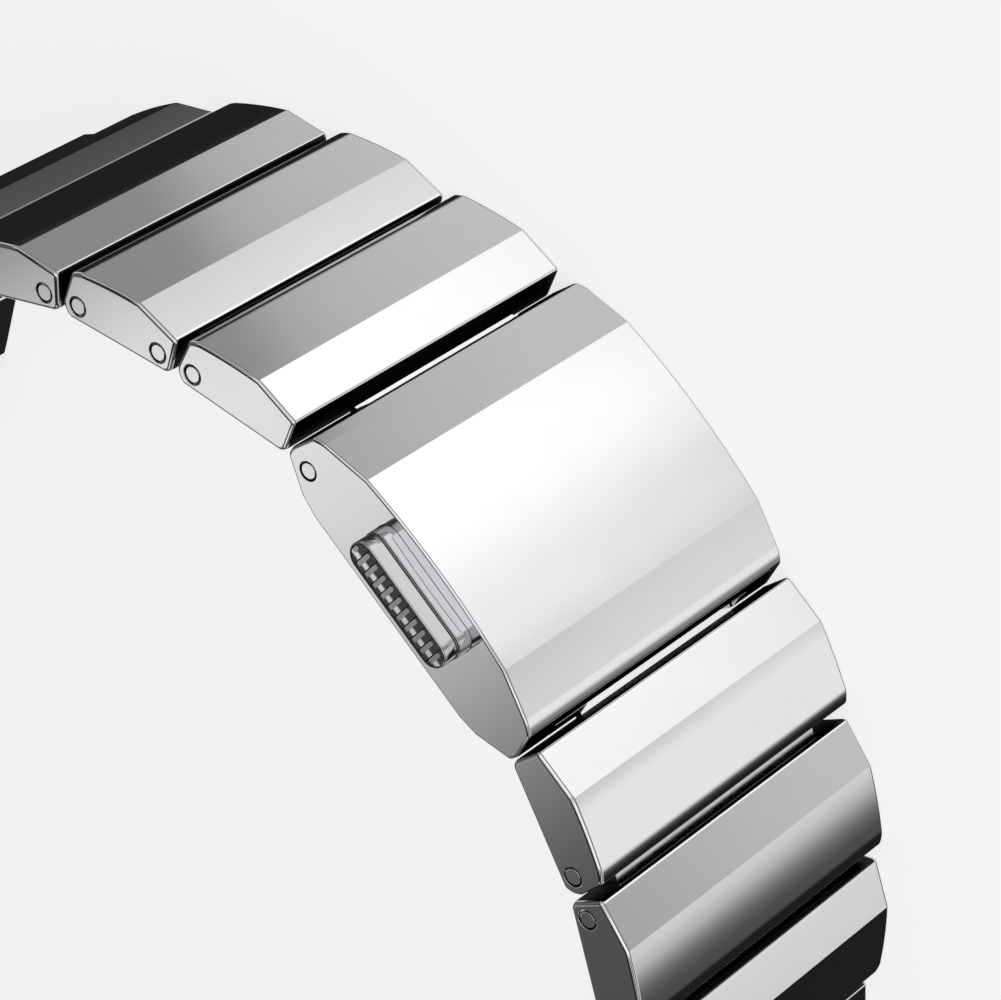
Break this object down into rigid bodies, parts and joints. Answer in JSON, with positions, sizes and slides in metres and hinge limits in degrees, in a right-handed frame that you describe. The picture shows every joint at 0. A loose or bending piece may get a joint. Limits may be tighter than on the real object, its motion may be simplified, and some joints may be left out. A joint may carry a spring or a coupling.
{
  "type": "watch bracelet",
  "caption": "Steel watch bracelet of solid bevelled links on hidden double-pin connectors, with a side push-button clasp and spring-bar end links.",
  "frame": {"origin": "centre of the clasp's far side face, on the surface that the bracelet lies on with its side down", "axes": "+Z across the strap, from the resting side up to the button side; -Y out of the clasp's outer face; +X along the clasp toward its pinned hinge (side a); side b hangs on the insert toward -X"},
  "size_m": [0.0734, 0.05, 0.0241],
  "materials": {
    "polished_steel": "mirror-polished stainless steel with crisp facets",
    "satin_steel": "satin-brushed stainless steel",
    "pin_steel": "ground and lightly polished stainless steel",
    "spring_steel": "drawn and tempered spring steel",
    "dark_cap": "darkened steel, the tops of its ribs worn bright"
  },
  "bodies": {
    "clasp": {"clasp_case": "polished_steel", "clasp_cover": "satin_steel", "cover_screws": "pin_steel", "clasp_hinge_pin": "pin_steel", "catch_spring": "spring_steel", "catch_screw": "pin_steel", "button_springs": "spring_steel"},
    "button": {"button_body": "polished_steel", "button_cap": "polished_steel", "button_inlay": "dark_cap"},
    "insert": {"insert_blade": "satin_steel", "insert_hinge_pin": "pin_steel"},
    "link_a1": {"link_a1": "polished_steel"},
    "connector_a1": {"connector_a1": "pin_steel", "pins_a1": "pin_steel"},
    "link_a2": {"link_a2": "polished_steel"},
    "connector_a2": {"connector_a2": "pin_steel", "pins_a2": "pin_steel"},
    "link_a3": {"link_a3": "polished_steel"},
    "connector_a3": {"connector_a3": "pin_steel", "pins_a3": "pin_steel"},
    "link_a4": {"link_a4": "polished_steel"},
    "connector_a4": {"connector_a4": "pin_steel", "pins_a4": "pin_steel"},
    "link_a5": {"link_a5": "polished_steel"},
    "connector_a5": {"connector_a5": "pin_steel", "pins_a5": "pin_steel"},
    "link_a6": {"link_a6": "polished_steel"},
    "connector_a6": {"connector_a6": "pin_steel", "pins_a6": "pin_steel"},
    "end_link_a": {"end_link_a": "polished_steel", "spring_bar_tube_a": "pin_steel", "spring_bar_spring_a": "spring_steel"},
    "link_b1": {"link_b1": "polished_steel"},
    "connector_b1": {"connector_b1": "pin_steel", "pins_b1": "pin_steel"},
    "link_b2": {"link_b2": "polished_steel"},
    "connector_b2": {"connector_b2": "pin_steel", "pins_b2": "pin_steel"},
    "link_b3": {"link_b3": "polished_steel"},
    "connector_b3": {"connector_b3": "pin_steel", "pins_b3": "pin_steel"},
    "link_b4": {"link_b4": "polished_steel"},
    "connector_b4": {"connector_b4": "pin_steel", "pins_b4": "pin_steel"},
    "link_b5": {"link_b5": "polished_steel"},
    "connector_b5": {"connector_b5": "pin_steel", "pins_b5": "pin_steel"},
    "link_b6": {"link_b6": "polished_steel"},
    "connector_b6": {"connector_b6": "pin_steel", "pins_b6": "pin_steel"},
    "end_link_b": {"end_link_b": "polished_steel", "spring_bar_tube_b": "pin_steel", "spring_bar_spring_b": "spring_steel"},
    "bar_tip_a_near": {"spring_bar_tip_a_near": "pin_steel"},
    "bar_tip_a_far": {"spring_bar_tip_a_far": "pin_steel"},
    "bar_tip_b_near": {"spring_bar_tip_b_near": "pin_steel"},
    "bar_tip_b_far": {"spring_bar_tip_b_far": "pin_steel"}
  },
  "joints": [
    {"name": "button_press", "type": "slide", "parent": "clasp", "child": "button", "axis": [0, 0, -1], "range_m": [0, 0.0009], "stiffness_N_per_m": 1500, "deforming": ["button_springs", "catch_spring"]},
    {"name": "insert_slide", "type": "slide", "parent": "clasp", "child": "insert", "axis": [-1, 0, 0], "range_m": [0, 0.013], "deforming": ["catch_spring"]},
    {"name": "clasp_hinge_a", "type": "hinge", "parent": "clasp", "child": "link_a1", "pos_m": [0.0084, 0.00094, 0.011], "axis": [0, 0, 1], "range_deg": [-27.6, 8.4]},
    {"name": "hinge_a1_inner", "type": "hinge", "parent": "link_a1", "child": "connector_a1", "pos_m": [0.01632, 0.00398, 0.011], "axis": [0, 0, 1], "range_deg": [-10.7, 25.3]},
    {"name": "hinge_a1_outer", "type": "hinge", "parent": "connector_a1", "child": "link_a2", "pos_m": [0.01847, 0.00523, 0.011], "axis": [0, 0, -1], "range_deg": [-25.3, 10.7]},
    {"name": "hinge_a2_inner", "type": "hinge", "parent": "link_a2", "child": "connector_a2", "pos_m": [0.02335, 0.0084, 0.011], "axis": [0, 0, 1], "range_deg": [-15.9, 20.1]},
    {"name": "hinge_a2_outer", "type": "hinge", "parent": "connector_a2", "child": "link_a3", "pos_m": [0.02523, 0.01003, 0.011], "axis": [0, 0, -1], "range_deg": [-20.1, 15.9]},
    {"name": "hinge_a3_inner", "type": "hinge", "parent": "link_a3", "child": "connector_a3", "pos_m": [0.02906, 0.0144, 0.011], "axis": [0, 0, 1], "range_deg": [-16.6, 19.4]},
    {"name": "hinge_a3_outer", "type": "hinge", "parent": "connector_a3", "child": "link_a4", "pos_m": [0.0304, 0.0165, 0.011], "axis": [0, 0, -1], "range_deg": [-19.4, 16.6]},
    {"name": "hinge_a4_inner", "type": "hinge", "parent": "link_a4", "child": "connector_a4", "pos_m": [0.03276, 0.02181, 0.011], "axis": [0, 0, 1], "range_deg": [-15, 21]},
    {"name": "hinge_a4_outer", "type": "hinge", "parent": "connector_a4", "child": "link_a5", "pos_m": [0.03349, 0.02419, 0.011], "axis": [0, 0, -1], "range_deg": [-21, 15]},
    {"name": "hinge_a5_inner", "type": "hinge", "parent": "link_a5", "child": "connector_a5", "pos_m": [0.0345, 0.02991, 0.011], "axis": [0, 0, 1], "range_deg": [-16.5, 19.5]},
    {"name": "hinge_a5_outer", "type": "hinge", "parent": "connector_a5", "child": "link_a6", "pos_m": [0.03456, 0.0324, 0.011], "axis": [0, 0, -1], "range_deg": [-19.5, 16.5]},
    {"name": "hinge_a6_inner", "type": "hinge", "parent": "link_a6", "child": "connector_a6", "pos_m": [0.03386, 0.03816, 0.011], "axis": [0, 0, 1], "range_deg": [-16.5, 19.5]},
    {"name": "hinge_a6_outer", "type": "hinge", "parent": "connector_a6", "child": "end_link_a", "pos_m": [0.03319, 0.04056, 0.011], "axis": [0, 0, -1], "range_deg": [-19.5, 16.5]},
    {"name": "clasp_hinge_b", "type": "hinge", "parent": "insert", "child": "link_b1", "pos_m": [-0.00828, 0.00094, 0.011], "axis": [0, 0, -1], "range_deg": [-19.5, 16.5]},
    {"name": "hinge_b1_inner", "type": "hinge", "parent": "link_b1", "child": "connector_b1", "pos_m": [-0.01655, 0.00283, 0.011], "axis": [0, 0, -1], "range_deg": [-14.35, 21.65]},
    {"name": "hinge_b1_outer", "type": "hinge", "parent": "connector_b1", "child": "link_b2", "pos_m": [-0.01879, 0.00392, 0.011], "axis": [0, 0, 1], "range_deg": [-21.65, 14.35]},
    {"name": "hinge_b2_inner", "type": "hinge", "parent": "link_b2", "child": "connector_b2", "pos_m": [-0.02371, 0.00701, 0.011], "axis": [0, 0, -1], "range_deg": [-16.9, 19.1]},
    {"name": "hinge_b2_outer", "type": "hinge", "parent": "connector_b2", "child": "link_b3", "pos_m": [-0.02559, 0.00865, 0.011], "axis": [0, 0, 1], "range_deg": [-19.1, 16.9]},
    {"name": "hinge_b3_inner", "type": "hinge", "parent": "link_b3", "child": "connector_b3", "pos_m": [-0.02932, 0.0131, 0.011], "axis": [0, 0, -1], "range_deg": [-16, 20]},
    {"name": "hinge_b3_outer", "type": "hinge", "parent": "connector_b3", "child": "link_b4", "pos_m": [-0.03064, 0.01521, 0.011], "axis": [0, 0, 1], "range_deg": [-20, 16]},
    {"name": "hinge_b4_inner", "type": "hinge", "parent": "link_b4", "child": "connector_b4", "pos_m": [-0.033, 0.02052, 0.011], "axis": [0, 0, -1], "range_deg": [-15.5, 20.5]},
    {"name": "hinge_b4_outer", "type": "hinge", "parent": "connector_b4", "child": "link_b5", "pos_m": [-0.03371, 0.02291, 0.011], "axis": [0, 0, 1], "range_deg": [-20.5, 15.5]},
    {"name": "hinge_b5_inner", "type": "hinge", "parent": "link_b5", "child": "connector_b5", "pos_m": [-0.03462, 0.02864, 0.011], "axis": [0, 0, -1], "range_deg": [-16.5, 19.5]},
    {"name": "hinge_b5_outer", "type": "hinge", "parent": "connector_b5", "child": "link_b6", "pos_m": [-0.03464, 0.03113, 0.011], "axis": [0, 0, 1], "range_deg": [-19.5, 16.5]},
    {"name": "hinge_b6_inner", "type": "hinge", "parent": "link_b6", "child": "connector_b6", "pos_m": [-0.03383, 0.03689, 0.011], "axis": [0, 0, -1], "range_deg": [-16, 20]},
    {"name": "hinge_b6_outer", "type": "hinge", "parent": "connector_b6", "child": "end_link_b", "pos_m": [-0.03315, 0.03928, 0.011], "axis": [0, 0, 1], "range_deg": [-20, 16]},
    {"name": "tip_a_near_slide", "type": "slide", "parent": "end_link_a", "child": "bar_tip_a_near", "axis": [0, 0, -1], "range_m": [0, 0.0009], "stiffness_N_per_m": 800, "deforming": ["spring_bar_spring_a"]},
    {"name": "tip_a_far_slide", "type": "slide", "parent": "end_link_a", "child": "bar_tip_a_far", "axis": [0, 0, 1], "range_m": [0, 0.0009], "stiffness_N_per_m": 800, "deforming": ["spring_bar_spring_a"]},
    {"name": "tip_b_near_slide", "type": "slide", "parent": "end_link_b", "child": "bar_tip_b_near", "axis": [0, 0, -1], "range_m": [0, 0.0009], "stiffness_N_per_m": 800, "deforming": ["spring_bar_spring_b"]},
    {"name": "tip_b_far_slide", "type": "slide", "parent": "end_link_b", "child": "bar_tip_b_far", "axis": [0, 0, 1], "range_m": [0, 0.0009], "stiffness_N_per_m": 800, "deforming": ["spring_bar_spring_b"]}
  ]
}
